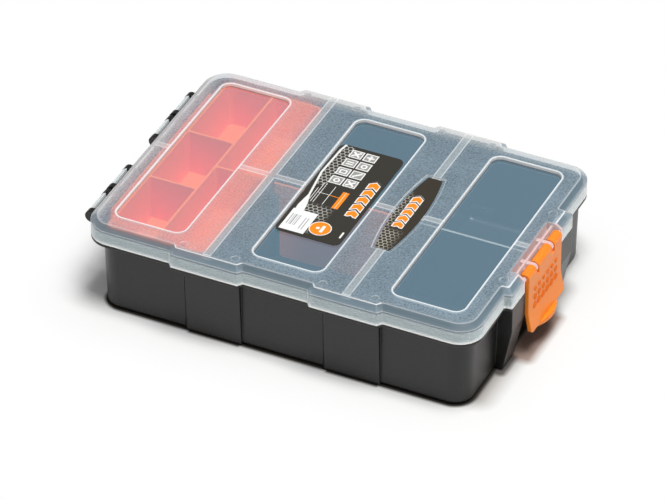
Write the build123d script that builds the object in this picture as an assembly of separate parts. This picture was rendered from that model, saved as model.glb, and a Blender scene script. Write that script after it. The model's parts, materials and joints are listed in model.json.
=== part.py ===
"""Compartment storage box: a moulded tub with a hinged, windowed lid and a swinging end latch.

The hinge is at -X and the latch at +X. The origin is on the underside of the foot, below the
middle of the lid's three windows. All sizes are in millimetres.
"""

import os
from math import cos, hypot, radians, sin, tan

from build123d import *

# Whole box
box_height = 47.0
lid_length = 197.0
lid_width = 139.4
corner_radius = 12.0

# Steps of the outline: two on each long side and one at the latch end
side_step_depth = 2.5
side_step_length = 33.8
side_step_run = 1.9
end_step_depth = 3.8
end_step_width = 69.4
end_step_run = 0.5
step_radius = 1.0

# Lid shell
lid_wall = 1.4
skirt_height = 9.9
shoulder_drop = 2.5
shoulder_run = 3.4
window_end_margin = 10.7
window_side_margin = 10.7
window_gap = 34.3
window_depth = 2.0
window_radius = 5.0
rib_thickness = 0.9
rib_depth = 1.6
rib_spacing = 3.0
rib_fit = 0.25
rim_rib_inset = 4.4
mark_radius = 2.0
mark_depth = 0.15
mark_side_margin = 4.4
mark_end_margin = 3.5
mark_spread = 13.0
mark_end_spread = 27.9
badge_length = 62.0
badge_width = 16.2
badge_end_width = 9.6
badge_depth = 0.5
sticker_thickness = 0.2
sticker_margin = 1.3
label_length = 74.2
label_width = 32.8
label_shift_x = -1.05
label_shift_y = 2.0
label_radius = 3.5
tag_length = 16.6
tag_width = 12.4
tag_side_margin = 1.8
tag_end_margin = 1.7

# Tub
tub_wall = 1.8
floor_thickness = 1.8
foot_height = 0.5
foot_inset = 2.6
hinge_end_inset = 6.5
latch_end_inset = 3.5
side_inset = 1.7
draft_angle = 1.4
edge_radius = 1.6
bay_corner_radius = 3.2
bay_floor_radius = 2.9
partition_thickness = 1.6
flange_thickness = 1.3
flange_gap = 0.2
rim_wall = 1.6
rim_fit = 0.5
rim_top_gap = 3.7
partition_top_gap = 2.9
pilaster_length = 27.5
pilaster_depth = 2.0
pilaster_foot_depth = 1.0
pilaster_slope = 3.0
pilaster_core_height = 8.0

# Loose dividers and the slots that hold them
divider_thickness = 1.2
divider_fit = 0.15
divider_end_gap = 0.3
guide_reach = 3.2
guide_thickness = 1.2
guide_top_gap = 6.0

# Insert tray
tray_wall = 1.2
tray_depth = 24.0
tray_hinge_gap = 0.9
tray_side_gap = 2.2
tray_partition_gap = 2.7
tray_corner_radius = 4.0
tray_foot_radius = 1.5
tray_joint_radius = 0.9
tray_floor_radius = 0.3
tray_split = 25.1
tray_cross_spacing = 40.0
tray_lip_reach = 3.5
tray_lip_wall = 0.8
ledge_reach = 4.0
ledge_thickness = 1.6
ledge_offset = 40.0

# Hinge
hinge_offset = 3.9
hinge_rise = 0.1
hinge_rod_radius = 1.1
hinge_clearance = 0.1
hinge_hook_radius = 2.9
hinge_ear_radius = 3.1
hinge_ear_thickness = 3.0
hinge_hook_length = 12.8
hinge_side_gap = 0.3
hinge_pair_gap = 2.05
hinge_spread = 32.65
hinge_mouth_start = 52.0
hinge_mouth_end = 100.0

# Latch and what it closes on
notch_width = 41.8
notch_depth = 7.3
latch_width = 37.6
latch_axis_inset = 1.3
latch_axis_drop = 4.1
latch_rod_radius = 1.1
latch_clearance = 0.1
knuckle_radius = 2.6
knuckle_gap = 2.8
knuckle_pitch = 8.9
lug_side_gap = 0.25
lug_radius = 2.1
leaf_thickness = 2.0
leaf_drop = 30.0
leaf_flare_drop = 19.0
leaf_flare = 2.1
leaf_edge_radius = 0.5
leaf_corner_radius = 2.0
lip_width = 22.0
lip_reach = 2.3
lip_thickness = 2.2
lip_drop = 1.2
dot_rows = 3
dot_columns = 6
dot_pitch = 4.7
dot_row_drop = 8.9
dot_radius = 1.75
dot_radius_step = 0.3
dot_height = 0.35
catch_thickness = 1.8
catch_fit = 1.1
catch_width = 30.0
hook_reach = 0.8
hook_height = 2.2
hook_drop_gap = 0.4
tower_width = 13.0
tower_straight = 12.0
tower_foot_reach = 3.6
tower_foot_radius = 2.0
tower_edge_inset = 0.2

# Levels and places worked out from the sizes above
lid_top = box_height
skirt_bottom = lid_top - skirt_height
flange_top = skirt_bottom - flange_gap
flange_bottom = flange_top - flange_thickness
rim_top = lid_top - rim_top_gap
partition_top = lid_top - partition_top_gap
half_length = lid_length / 2
half_width = lid_width / 2
window_length = (lid_length - 2 * window_end_margin - 2 * window_gap) / 3
window_width = lid_width - 2 * window_side_margin
window_pitch = window_length + window_gap
partition_x = window_pitch / 2
rim_inset = lid_wall + rim_fit
rim_inner_inset = rim_inset + rim_wall
tub_left = -half_length + hinge_end_inset
tub_right = half_length - latch_end_inset
tub_side = half_width - side_inset
wall_height = flange_bottom - foot_height
draft_shift = wall_height * tan(radians(draft_angle))
pane_top = lid_top - window_depth
pane_bottom = pane_top - lid_wall
rib_bottom = lid_top - lid_wall - rib_depth
tray_top = rim_top
tray_bottom = tray_top - tray_depth
tray_left = tub_left + tub_wall + tray_hinge_gap
tray_right = -partition_x - partition_thickness / 2 - tray_partition_gap
tray_side = half_width - rim_inner_inset - tray_side_gap
tray_split_x = tray_left + tray_split
hinge_x = -half_length - hinge_offset
hinge_height = skirt_bottom + hinge_rise
end_step_x = half_length + end_step_depth
latch_x = end_step_x - latch_axis_inset
latch_z = lid_top - latch_axis_drop
notch_x = end_step_x - notch_depth
leaf_outer_x = latch_x + knuckle_radius
leaf_inner_x = leaf_outer_x - leaf_thickness
leaf_bottom = latch_z - leaf_drop
flare_top = latch_z - leaf_flare_drop
notch_half = notch_width / 2

# How deep joined solids reach into each other, and how far cutters stand out
small = 0.01
spare = 1.0


def block(x0, x1, y0, y1, z0, z1):
    """A box between opposite corners."""
    centre = ((x0 + x1) / 2, (y0 + y1) / 2, (z0 + z1) / 2)
    return Pos(*centre) * Box(x1 - x0, y1 - y0, z1 - z0)


def flipped(shape):
    """The same shape on the other side of the XZ plane."""
    return mirror(shape, about=Plane.XZ)


def outline(inset):
    """The lid's outline with its side and end steps, moved inwards all round by inset."""
    slant = hypot(side_step_depth, side_step_run)
    pull = inset * (slant - side_step_run) / side_step_depth
    face_half = side_step_length / 2 - pull
    end_slant = hypot(end_step_depth, end_step_run)
    end_pull = inset * (end_slant - end_step_run) / end_step_depth
    end_half = end_step_width / 2 - end_pull
    x = half_length - inset
    y = half_width - inset
    corner = corner_radius - inset
    near_side = [(-x, -y, corner)]
    for centre in (-partition_x, partition_x):
        near_side += [
            (centre - face_half - side_step_run, -y, step_radius),
            (centre - face_half, -y - side_step_depth, step_radius),
            (centre + face_half, -y - side_step_depth, step_radius),
            (centre + face_half + side_step_run, -y, step_radius),
        ]
    near_side += [
        (x, -y, corner),
        (x, -end_half - end_step_run, step_radius),
        (x + end_step_depth, -end_half, step_radius),
    ]
    far_side = [(px, -py, radius) for px, py, radius in reversed(near_side)]
    corners = near_side + far_side
    path = FilletPolyline(
        [(px, py) for px, py, radius in corners],
        radius=[radius for px, py, radius in corners],
        close=True,
    )
    return make_face(path)


def prism(face, z0, z1):
    """A flat face raised from z0 to z1."""
    return extrude(Pos(0, 0, z0) * face, amount=z1 - z0)


def rounded_rectangle(x0, x1, y0, y1, radii):
    """A rectangle whose corner radii run from the near left corner round to the far left."""
    path = FilletPolyline([(x0, y0), (x1, y0), (x1, y1), (x0, y1)], radius=radii, close=True)
    return make_face(path)


def drafted_box(x0, x1, y0, y1, z_top, z_bottom, radii, floor_radius):
    """A rounded box that narrows downwards by the draft angle, with its bottom edge rounded."""
    pull = (z_top - z_bottom) * tan(radians(draft_angle))
    top = rounded_rectangle(x0, x1, y0, y1, radii)
    bottom = rounded_rectangle(
        x0 + pull, x1 - pull, y0 + pull, y1 - pull, [max(r - pull, small) for r in radii]
    )
    body = loft([Pos(0, 0, z_bottom) * bottom, Pos(0, 0, z_top) * top], ruled=True)
    floor = body.faces().sort_by(Axis.Z)[0]
    return fillet(floor.edges(), floor_radius)


def lid_solid(inset, top_drop):
    """The solid inside the lid's outer skin: straight skirt and sloping shoulder."""
    shoulder_z = lid_top - shoulder_drop - top_drop
    skirt = prism(outline(inset), skirt_bottom - (small if inset else 0), shoulder_z)
    low = Pos(0, 0, shoulder_z) * outline(inset)
    high = Pos(0, 0, lid_top - top_drop) * outline(inset + shoulder_run)
    return skirt + loft([low, high], ruled=True)


def window_face(centre, grow):
    """A window's outline, moved outwards by grow."""
    return rounded_rectangle(
        centre - window_length / 2 - grow,
        centre + window_length / 2 + grow,
        -window_width / 2 - grow,
        window_width / 2 + grow,
        [window_radius + grow] * 4,
    )


def badge_face(shrink):
    """The badge's barrel outline: straight ends and bowed long sides."""
    end_half = badge_end_width / 2 - shrink
    half = badge_length / 2 - shrink
    bow = badge_width / 2 - shrink
    left = ThreePointArc((-end_half, half), (-bow, 0), (-end_half, -half))
    bottom = Line((-end_half, -half), (end_half, -half))
    right = ThreePointArc((end_half, -half), (bow, 0), (end_half, half))
    top = Line((end_half, half), (-end_half, half))
    return Pos(partition_x, 0) * make_face([left, bottom, right, top])


def lid_ribs():
    """The ribs under the lid: pairs across at the partitions, a pair lengthwise and a rim rib."""
    top = lid_top - lid_wall + small
    reach_y = half_width - rim_rib_inset
    reach_x = half_length - rim_rib_inset
    offset = rib_spacing / 2
    half_rib = rib_thickness / 2
    ribs = []
    for centre in (-partition_x, partition_x):
        for side in (-offset, offset):
            x = centre + side
            ribs.append(block(x - half_rib, x + half_rib, -reach_y, reach_y, rib_bottom, top))
    for side in (-offset, offset):
        ribs.append(block(-reach_x, reach_x, side - half_rib, side + half_rib, rib_bottom, top))
    ring = prism(outline(rim_rib_inset), rib_bottom, top)
    ring -= prism(outline(rim_rib_inset + rib_thickness), rib_bottom - spare, top + spare)
    ribs.append(ring)
    openings = [prism(window_face(i * window_pitch, 0), 0, box_height) for i in (-1, 0, 1)]
    gaps = [partition(centre, rib_fit, rib_bottom - spare) for centre in (-partition_x, partition_x)]
    return Part() + ribs - openings - gaps


def mould_marks():
    """The shallow round marks on the lid's rim, beside the steps and at the latch end."""
    y = half_width - mark_side_margin
    places = [
        (centre + shift, side * y)
        for centre in (-partition_x, partition_x)
        for shift in (-mark_spread, mark_spread)
        for side in (-1, 1)
    ]
    places += [(half_length - mark_end_margin, side * mark_end_spread) for side in (-1, 1)]
    disc = Cylinder(mark_radius, 2 * mark_depth)
    return [Pos(x, y, lid_top) * disc for x, y in places]


def notch_walls():
    """The walls that line the lid's notch for the latch."""
    outer = block(
        notch_x - lid_wall, end_step_x, -notch_half - lid_wall, notch_half + lid_wall,
        skirt_bottom, lid_top,
    )
    hole = block(
        notch_x, end_step_x + spare, -notch_half, notch_half,
        skirt_bottom - spare, lid_top + spare,
    )
    return (outer - hole) & lid_solid(0, 0)


def latch_lugs():
    """The lid's two lugs and the rod between the notch walls, which carry the latch."""
    rod = Cylinder(latch_rod_radius, notch_width + lid_wall)
    rod = Pos(latch_x, 0, latch_z) * Rot(90, 0, 0) * rod
    half = knuckle_gap / 2 - lug_side_gap
    parts = [rod]
    for centre in (-knuckle_pitch, knuckle_pitch):
        eye = Pos(latch_x, centre, latch_z) * Rot(90, 0, 0) * Cylinder(lug_radius, 2 * half)
        arm = block(notch_x - small, latch_x, centre - half, centre + half,
                    latch_z - lug_radius, latch_z + lug_radius)
        parts += [eye, arm]
    return Part() + parts


def hinge_centres():
    """The middle, along Y, of each hook."""
    step = hinge_hook_length / 2 + hinge_side_gap + hinge_ear_thickness + hinge_pair_gap / 2
    return [side * hinge_spread + shift for side in (-1, 1) for shift in (-step, step)]


def hinge_hook(centre):
    """A hook on the lid's skirt that wraps round a rod of the tub from below."""
    half = hinge_hook_length / 2
    ring = Cylinder(hinge_hook_radius, hinge_hook_length)
    ring -= Cylinder(hinge_rod_radius + hinge_clearance, hinge_hook_length + spare)
    ring = Pos(hinge_x, centre, hinge_height) * Rot(90, 0, 0) * ring
    reach = 2 * hinge_hook_radius
    start = radians(hinge_mouth_start)
    end = radians(hinge_mouth_end)
    mouth = make_face(Polyline(
        (0, 0),
        (reach * cos(start), reach * sin(start)),
        (reach * cos(end), reach * sin(end)),
        close=True,
    ))
    wedge = extrude(Plane.XZ * mouth, amount=half + spare, both=True)
    ring -= Pos(hinge_x, centre, hinge_height) * wedge
    web = block(
        hinge_x + hinge_hook_radius * cos(start) - small, -half_length + small,
        centre - half, centre + half,
        hinge_height, hinge_height + hinge_hook_radius * sin(start),
    )
    web -= Pos(hinge_x, centre, hinge_height) * Rot(90, 0, 0) * Cylinder(
        hinge_rod_radius + hinge_clearance, hinge_hook_length + spare
    )
    low = block(
        hinge_x + hinge_rod_radius + hinge_clearance, -half_length + small,
        centre - half, centre + half, hinge_height, skirt_bottom + lid_wall,
    )
    return ring + web + (low - Pos(hinge_x, centre, hinge_height) * wedge)


def make_lid():
    """The lid: one moulding with its panes, ribs, hinge hooks and latch rod."""
    lid = lid_solid(0, 0) - lid_solid(lid_wall, lid_wall)
    lid -= block(notch_x, end_step_x + spare, -notch_half, notch_half, 0, lid_top + spare)
    lid += notch_walls()
    for i in (-1, 0, 1):
        centre = i * window_pitch
        lid += prism(window_face(centre, lid_wall), pane_bottom, lid_top - lid_wall + small)
        lid -= prism(window_face(centre, 0), pane_top, lid_top + spare)
    lid += lid_ribs()
    seat = prism(badge_face(-2 * lid_wall), lid_top - badge_depth - lid_wall, lid_top - small)
    lid += seat
    lid -= prism(badge_face(0), lid_top - badge_depth, lid_top + spare)
    lid += latch_lugs()
    for centre in hinge_centres():
        lid += hinge_hook(centre)
    lid -= mould_marks()
    return lid


def partition(centre, grow, z0):
    """The part above z0 of a wall between two bays, made larger all round by grow."""
    half = partition_thickness / 2 + grow
    reach = half_width - rim_inner_inset + side_step_depth + small
    return block(centre - half, centre + half, -reach, reach, z0, partition_top + grow)


def pilaster_section(left, right, face_y, deep_y):
    """A pilaster's plan: a sloping left side and a square right side."""
    return make_face(Polyline(
        (left - pilaster_slope, deep_y), (left, face_y), (right, face_y), (right, deep_y),
        close=True,
    ))


def pilaster(centre):
    """A raised field on the tub's near side, below a step of the lid."""
    right = centre + side_step_length / 2
    left = right - pilaster_length
    foot_y = -tub_side + draft_shift - pilaster_foot_depth
    deep_y = -tub_side + draft_shift + tub_wall / 2
    top = pilaster_section(left, right, -tub_side - pilaster_depth, deep_y)
    foot = pilaster_section(left, right, foot_y, deep_y)
    field = loft([Pos(0, 0, foot_height) * foot, Pos(0, 0, flange_bottom + small) * top], ruled=True)
    front_edges = field.edges().filter_by(Axis.X).sort_by(Axis.Y)
    return fillet(front_edges.sort_by(Axis.Z)[:2].sort_by(Axis.Y)[0], edge_radius / 2)


def pilaster_core(centre):
    """The hollow behind a near pilaster, on both sides of the wall between the bays."""
    right = centre + side_step_length / 2 - tub_wall
    left = right - pilaster_length + 2 * tub_wall
    deep_y = -tub_side + draft_shift + tub_wall + small
    low = foot_height + pilaster_core_height
    high_y = -tub_side - pilaster_depth + tub_wall
    low_y = high_y + draft_shift / 2
    top = rounded_rectangle(left, right, high_y, deep_y, [0] * 4)
    foot = rounded_rectangle(left, right, low_y, deep_y, [0] * 4)
    hollow = loft([Pos(0, 0, low) * foot, Pos(0, 0, flange_top + small) * top], ruled=True)
    half = partition_thickness / 2 + bay_corner_radius / 2
    return hollow - block(centre - half, centre + half, high_y - spare, deep_y + spare, 0, lid_top)


def tower_profile(grow, radius):
    """A tower's side view, made smaller all round by a negative grow."""
    top_x = end_step_x - tower_edge_inset + grow
    foot_x = tub_right - draft_shift + tower_foot_reach + grow
    deep_x = tub_right - draft_shift - tub_wall - small
    profile = FilletPolyline(
        [(deep_x, flange_bottom), (top_x, flange_bottom), (top_x, flange_bottom - tower_straight),
         (foot_x, foot_height - 2 * grow), (deep_x, foot_height - 2 * grow)],
        radius=[0, 0, radius, radius, 0],
        close=True,
    )
    return make_face(profile)


def tower(side):
    """A tapering post beside the latch, under the step of the lid's end."""
    post = extrude(Plane.XZ * tower_profile(0, tower_foot_radius), amount=tower_width / 2, both=True)
    return Pos(0, side * (notch_half + tower_edge_inset + tower_width / 2), 0) * post


def tower_core(side):
    """The hollow inside a tower, open to the bay and up to the shelf."""
    half = tower_width / 2 - tub_wall
    core = extrude(Plane.XZ * tower_profile(-2 * tub_wall, 0), amount=half, both=True)
    top_x = end_step_x - rim_inner_inset - small
    core += block(tub_right - tub_wall - small, top_x, -half, half,
                  flange_bottom - small, flange_top + small)
    return Pos(0, side * (notch_half + tower_edge_inset + tower_width / 2), 0) * core


def catch_ledge():
    """The ledge between the towers that the latch hooks under."""
    half = notch_half + tower_edge_inset + small
    reach = leaf_inner_x - catch_fit
    return block(tub_right - tub_wall, reach, -half, half, flange_top - catch_thickness, flange_top)


def hinge_ears(centre):
    """Two ears and the rod between them for one hook, on a bracket below the flange."""
    half = hinge_hook_length / 2 + hinge_side_gap
    rod = Cylinder(hinge_rod_radius, 2 * half + 2 * small)
    parts = [Pos(hinge_x, centre, hinge_height) * Rot(90, 0, 0) * rod]
    for side in (-1, 1):
        middle = centre + side * (half + hinge_ear_thickness / 2)
        y0 = middle - hinge_ear_thickness / 2
        y1 = middle + hinge_ear_thickness / 2
        disc = Pos(hinge_x, middle, hinge_height) * Rot(90, 0, 0) * Cylinder(
            hinge_ear_radius, hinge_ear_thickness
        )
        foot_z = flange_bottom - hinge_ear_radius
        web = block(hinge_x, tub_left, y0, y1, hinge_height - hinge_ear_radius, flange_top)
        gusset = extrude(Plane.XZ * make_face(Polyline(
            (hinge_x, hinge_height - hinge_ear_radius), (tub_left + spare, foot_z - hinge_offset),
            (tub_left + spare, hinge_height), (hinge_x, hinge_height), close=True,
        )), amount=-hinge_ear_thickness)
        gusset = Pos(0, y0, 0) * gusset
        gusset -= block(hinge_x - spare, tub_left + 2 * spare, y0 - spare, y1 + spare,
                        flange_top, lid_top)
        parts += [disc, web, gusset]
    return Part() + parts


def divider_guides(x, direction):
    """A pair of upright ribs that make the slot for one end of a divider."""
    gap = divider_thickness / 2 + divider_fit
    x0, x1 = sorted((x, x + direction * guide_reach))
    top = rim_top - guide_top_gap
    ribs = []
    for side in (-1, 1):
        y0, y1 = sorted((side * gap, side * (gap + guide_thickness)))
        ribs.append(block(x0, x1, y0, y1, floor_thickness, top))
    return ribs


def tray_ledges():
    """Upright ribs in the first bay that the tray's floor stands on."""
    right = -partition_x - partition_thickness / 2
    left = tub_left + tub_wall
    ribs = []
    for y in (-ledge_offset, ledge_offset):
        y0 = y - ledge_thickness / 2
        y1 = y + ledge_thickness / 2
        ribs.append(block(left - small, left + ledge_reach, y0, y1, floor_thickness, tray_bottom))
        ribs.append(block(right - tray_partition_gap - ledge_reach, right + small, y0, y1,
                          floor_thickness, tray_bottom))
    return ribs


def make_tub():
    """The tub: walls, flange, upstanding rim, partitions, guides, towers and hinge ears."""
    radii = [corner_radius - side_inset] * 4
    body = drafted_box(tub_left, tub_right, -tub_side, tub_side, flange_top, foot_height,
                       radii, edge_radius)
    foot_pull = draft_shift + foot_inset
    body += prism(rounded_rectangle(
        tub_left + foot_pull, tub_right - foot_pull, -tub_side + foot_pull, tub_side - foot_pull,
        [radii[0] - foot_pull] * 4,
    ), 0, foot_height + floor_thickness)
    for centre in (-partition_x, partition_x):
        body += pilaster(centre)
        body += flipped(pilaster(centre))
    body += [tower(-1), tower(1), catch_ledge()]

    flange = prism(outline(0), flange_bottom, flange_top)
    flange -= block(tub_right, end_step_x + spare, -notch_half, notch_half, flange_bottom - spare, lid_top)
    body += flange
    rim = prism(outline(rim_inset), flange_top - small, rim_top)
    rim -= block(tub_right - tub_wall - rim_wall, end_step_x + spare,
                 -notch_half - lid_wall - rim_fit, notch_half + lid_wall + rim_fit,
                 flange_top, lid_top)
    body += rim

    inner_side = half_width - rim_inner_inset
    half_partition = partition_thickness / 2
    outer = corner_radius - rim_inner_inset
    inner = bay_corner_radius
    bays = [
        (tub_left + tub_wall, -partition_x - half_partition, [outer, inner, inner, outer]),
        (-partition_x + half_partition, partition_x - half_partition, [inner] * 4),
        (partition_x + half_partition, tub_right - tub_wall, [inner, outer, outer, inner]),
    ]
    upper = prism(outline(rim_inner_inset), flange_top, lid_top)
    for x0, x1, bay_radii in bays:
        body -= drafted_box(x0, x1, -inner_side, inner_side, flange_top + small, floor_thickness,
                            bay_radii, bay_floor_radius)
    body -= upper
    for centre in (-partition_x, partition_x):
        wall = partition(centre, 0, flange_top - small)
        body += wall & prism(outline(rim_inner_inset - small), 0, lid_top)
        core = pilaster_core(centre)
        body -= [core, flipped(core)]
    body -= [tower_core(-1), tower_core(1)]
    for centre in hinge_centres():
        body -= hinge_relief(centre)
        body += hinge_ears(centre)

    first_wall = -partition_x + half_partition
    second_wall = partition_x - half_partition
    third_wall = partition_x + half_partition
    fourth_wall = tub_right - tub_wall
    body += divider_guides(first_wall - small, 1)
    body += divider_guides(second_wall + small, -1)
    body += divider_guides(third_wall - small, 1)
    body += divider_guides(fourth_wall + small, -1)
    body += tray_ledges()
    return body


def hinge_relief(centre):
    """The space cut from the flange for one hook to turn in."""
    half = hinge_hook_length / 2 + hinge_side_gap
    return block(hinge_x - hinge_ear_radius, -half_length + rim_inset - rim_fit,
                 centre - half, centre + half, flange_bottom - spare, flange_top + small)


def make_tray():
    """The insert tray: five cells and a lip that lies on the tub's end shelf and turns up."""
    shell = drafted_box(tray_left, tray_right, -tray_side, tray_side, tray_top, tray_bottom,
                        [tray_corner_radius] * 4, tray_foot_radius)
    cell_floor = tray_bottom + tray_wall
    half_wall = tray_wall / 2
    left_x = (tray_left + tray_wall, tray_split_x - half_wall)
    right_x = (tray_split_x + half_wall, tray_right - tray_wall)
    edge = tray_side - tray_wall
    cross = tray_cross_spacing / 2
    outer = tray_corner_radius - tray_wall / 2
    inner = tray_joint_radius
    cells = [
        (left_x, (-edge, -cross - half_wall), [outer, inner, inner, inner]),
        (left_x, (-cross + half_wall, cross - half_wall), [inner] * 4),
        (left_x, (cross + half_wall, edge), [inner, inner, inner, outer]),
        (right_x, (-edge, -half_wall), [inner, outer, inner, inner]),
        (right_x, (half_wall, edge), [inner, inner, outer, inner]),
    ]
    for (x0, x1), (y0, y1), radii in cells:
        shell -= drafted_box(x0, x1, y0, y1, tray_top + small, cell_floor, radii,
                             tray_floor_radius)
    lip_end = tray_left - tray_lip_reach
    reach = tray_side - corner_radius
    shell += block(lip_end, tray_left + tray_wall / 2, -reach, reach, flange_top,
                   flange_top + tray_lip_wall)
    shell += block(lip_end, lip_end + tray_lip_wall, -reach, reach, flange_top, tray_top)
    return shell


def divider(x0, x1):
    """A loose divider plate between two drafted walls, with its foot corners cut off."""
    left = x0 + divider_end_gap
    right = x1 - divider_end_gap
    pull = (flange_top - floor_thickness) * tan(radians(draft_angle))
    cut = bay_floor_radius
    profile = make_face(Polyline(
        (left, rim_top), (left, flange_top), (left + pull, floor_thickness + cut),
        (left + pull + cut, floor_thickness), (right - pull - cut, floor_thickness),
        (right - pull, floor_thickness + cut), (right, flange_top), (right, rim_top), close=True,
    ))
    return extrude(Plane.XZ * profile, amount=divider_thickness / 2, both=True)


def make_middle_divider():
    """The divider of the middle bay."""
    half = partition_thickness / 2
    return divider(-partition_x + half, partition_x - half)


def make_end_divider():
    """The divider of the bay beside the latch."""
    return divider(partition_x + partition_thickness / 2, tub_right - tub_wall)


def make_label():
    """The card stuck in the middle window."""
    x0 = label_shift_x - label_width / 2
    y0 = label_shift_y - label_length / 2
    face = rounded_rectangle(x0, x0 + label_width, y0, y0 + label_length, [label_radius] * 4)
    return prism(face, pane_top, pane_top + sticker_thickness)


def make_tag():
    """The small tag stuck on the card's near corner."""
    x0 = label_shift_x - label_width / 2 + tag_side_margin
    y0 = label_shift_y - label_length / 2 + tag_end_margin
    level = pane_top + sticker_thickness
    return block(x0, x0 + tag_width, y0, y0 + tag_length, level, level + sticker_thickness)


def make_badge():
    """The sticker in the lid's barrel-shaped recess."""
    level = lid_top - badge_depth
    return prism(badge_face(sticker_margin), level, level + sticker_thickness)


def latch_leaf():
    """The latch's plate: straight, then flared outwards towards its free edge."""
    profile = make_face(Polyline(
        (leaf_inner_x, latch_z), (leaf_outer_x, latch_z), (leaf_outer_x, flare_top),
        (leaf_outer_x + leaf_flare, leaf_bottom), (leaf_inner_x + leaf_flare, leaf_bottom),
        (leaf_inner_x, flare_top), close=True,
    ))
    leaf = extrude(Plane.XZ * profile, amount=latch_width / 2, both=True)
    low_corners = leaf.edges().filter_by(Axis.X).sort_by(Axis.Z)[:2]
    leaf = fillet(low_corners, leaf_corner_radius)
    outer_faces = [face for face in leaf.faces() if face.normal_at().X > 0.5]
    side_edges = [
        edge for face in outer_faces for edge in face.edges()
        if abs(edge.center().Y) > latch_width / 2 - small
    ]
    return fillet(side_edges, leaf_edge_radius)


def thumb_lip():
    """The bowed lip under the middle of the latch's free edge."""
    chord_x = leaf_outer_x + leaf_flare - leaf_thickness / 2
    half = lip_width / 2
    back = Line((chord_x, half), (chord_x, -half))
    bow = ThreePointArc((chord_x, -half), (chord_x + leaf_thickness / 2 + lip_reach, 0), (chord_x, half))
    face = make_face([back, bow])
    return prism(face, leaf_bottom - lip_drop, leaf_bottom - lip_drop + lip_thickness)


def grip_dots():
    """Rows of raised dots on the leaf, larger towards the free edge."""
    dots = []
    for row in range(dot_rows):
        radius = dot_radius - (dot_rows - 1 - row) * dot_radius_step
        z = latch_z - dot_row_drop - row * dot_pitch
        for column in range(dot_columns):
            y = (column - (dot_columns - 1) / 2) * dot_pitch
            dot = Cylinder(radius, dot_height + leaf_thickness / 2)
            x = leaf_outer_x + dot_height - (dot_height + leaf_thickness / 2) / 2
            dots.append(Pos(x, y, z) * Rot(0, 90, 0) * dot)
    return dots


def make_latch():
    """The latch: knuckles round the lid's rod, flared leaf, dots, thumb lip and inner hook."""
    latch = latch_leaf() + thumb_lip()
    half = latch_width / 2
    gap_half = knuckle_gap / 2
    latch += Pos(latch_x, 0, latch_z) * Rot(90, 0, 0) * Cylinder(knuckle_radius, latch_width)
    slot_bottom = latch_z - knuckle_radius - lug_side_gap
    for centre in (-knuckle_pitch, knuckle_pitch):
        latch -= block(latch_x - knuckle_radius - spare, leaf_outer_x + spare, centre - gap_half,
                       centre + gap_half, slot_bottom, lid_top)
    bore = Cylinder(latch_rod_radius + latch_clearance, latch_width + spare)
    latch -= Pos(latch_x, 0, latch_z) * Rot(90, 0, 0) * bore
    latch += grip_dots()
    hook_top = flange_top - catch_thickness - hook_drop_gap
    latch += block(leaf_inner_x - hook_reach, leaf_inner_x + small, -catch_width / 2,
                   catch_width / 2, hook_top - hook_height, hook_top)
    return latch


def main():
    """Build every piece and write one STEP file for each."""
    pieces = {
        "tub": make_tub(),
        "insert_tray": make_tray(),
        "middle_divider": make_middle_divider(),
        "end_divider": make_end_divider(),
        "lid": make_lid(),
        "window_label": make_label(),
        "price_tag": make_tag(),
        "badge_sticker": make_badge(),
        "latch": make_latch(),
    }
    os.makedirs("parts", exist_ok=True)
    for name, piece in pieces.items():
        export_step(piece, os.path.join("parts", name + ".step"))
        print(name, round(piece.volume, 1), len(piece.solids()))


main()
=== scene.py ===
"""Compartment storage box: finishes, printed motifs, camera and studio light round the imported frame.

Lengths in the classes are millimetres in the frame's axes unless a class says otherwise: hinges
at -X, latch at +X, the near long side at -Y and the flat foot at Z = 0.
"""

from __future__ import annotations

import json
import logging
import math
from dataclasses import dataclass
from enum import Enum
from functools import reduce
from typing import Any, Iterable, Optional, Sequence, Union

import bpy
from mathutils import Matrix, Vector

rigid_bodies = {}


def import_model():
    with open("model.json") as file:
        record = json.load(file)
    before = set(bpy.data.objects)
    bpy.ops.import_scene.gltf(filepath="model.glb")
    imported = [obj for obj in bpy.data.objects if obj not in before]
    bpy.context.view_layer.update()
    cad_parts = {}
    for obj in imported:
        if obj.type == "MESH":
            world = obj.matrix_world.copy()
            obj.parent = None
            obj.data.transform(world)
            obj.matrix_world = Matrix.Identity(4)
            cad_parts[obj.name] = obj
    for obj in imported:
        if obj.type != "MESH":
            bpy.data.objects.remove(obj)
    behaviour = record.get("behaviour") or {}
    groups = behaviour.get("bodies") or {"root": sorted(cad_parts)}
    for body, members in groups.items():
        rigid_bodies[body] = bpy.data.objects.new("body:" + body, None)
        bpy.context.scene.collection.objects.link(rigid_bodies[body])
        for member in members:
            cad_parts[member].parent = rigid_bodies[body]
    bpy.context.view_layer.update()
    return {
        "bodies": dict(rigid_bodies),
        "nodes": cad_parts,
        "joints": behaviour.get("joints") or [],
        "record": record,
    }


LOG = logging.getLogger("storage_box")
MM = 0.001
BEVEL_SAMPLES = 6
Colour = tuple[float, float, float]
Place = tuple[float, float, float]
Point = tuple[float, float]
Run = tuple[Point, Point]
Box = tuple[Point, Point]
Disc = tuple[Point, float]
Socket = bpy.types.NodeSocket
Operand = Union["Value", float]
Triple = tuple["Value", "Value", "Value"]
Layers = Iterable[tuple["Value", Colour]]
WHITE: Colour = (1.0, 1.0, 1.0)
BLACK: Colour = (0.0, 0.0, 0.0)
ORIGIN: Point = (0.0, 0.0)

# Widths of the edges of masks, in millimetres
HAIR = 0.05
CRISP = 0.1
FIRM = 0.2
SOFT = 0.3
BLURRED = 0.4
WIDE = 0.5


def rgba(colour: Colour) -> tuple[float, float, float, float]:
    """Add a full alpha to a colour, as colour sockets want it."""
    return (*colour, 1.0)


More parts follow.
